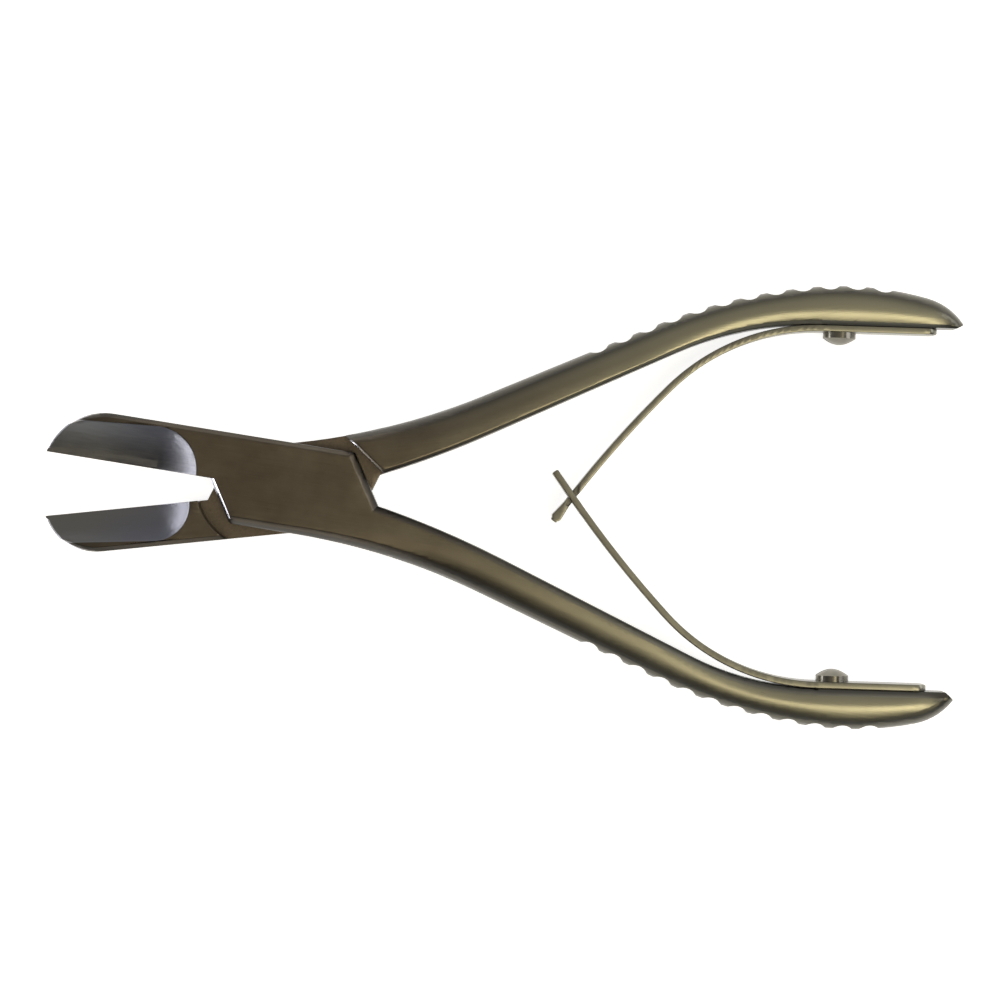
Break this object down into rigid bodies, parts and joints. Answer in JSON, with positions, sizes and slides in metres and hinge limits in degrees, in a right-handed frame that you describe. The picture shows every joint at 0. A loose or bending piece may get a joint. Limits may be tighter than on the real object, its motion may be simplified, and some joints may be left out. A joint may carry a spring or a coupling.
{
  "type": "bone cutting forceps",
  "caption": "Straight bone cutting forceps with wedge blades, a riveted lap joint, bowed handles with finger grooves and crossed leaf springs.",
  "frame": {"origin": "on the pivot axis, on the flat face that the closed joint rests on", "axes": "+X along the mid line towards the handles, +Y towards the rear arm's handle, +Z along the pivot axis towards the front arm's lap plate"},
  "size_m": [0.1392, 0.0675, 0.007],
  "materials": {
    "satin_steel": "satin",
    "rivet_steel": "ground flush with the joint",
    "spring_steel": "tempered, darker than the arms",
    "screw_steel": "polished head"
  },
  "bodies": {
    "rear_arm": {"rear_arm": "satin_steel", "upper_spring": "spring_steel", "upper_spring_screw": "screw_steel"},
    "front_arm": {"front_arm": "satin_steel", "pivot_pin": "rivet_steel", "lower_spring": "spring_steel", "lower_spring_screw": "screw_steel"}
  },
  "joints": [
    {"name": "pivot", "type": "hinge", "parent": "rear_arm", "child": "front_arm", "pos_m": [0, 0, 0.0035], "axis": [0, 0, 1], "range_deg": [0, 14.8], "stiffness_Nm_per_rad": 3, "deforming": ["upper_spring", "lower_spring"]}
  ]
}
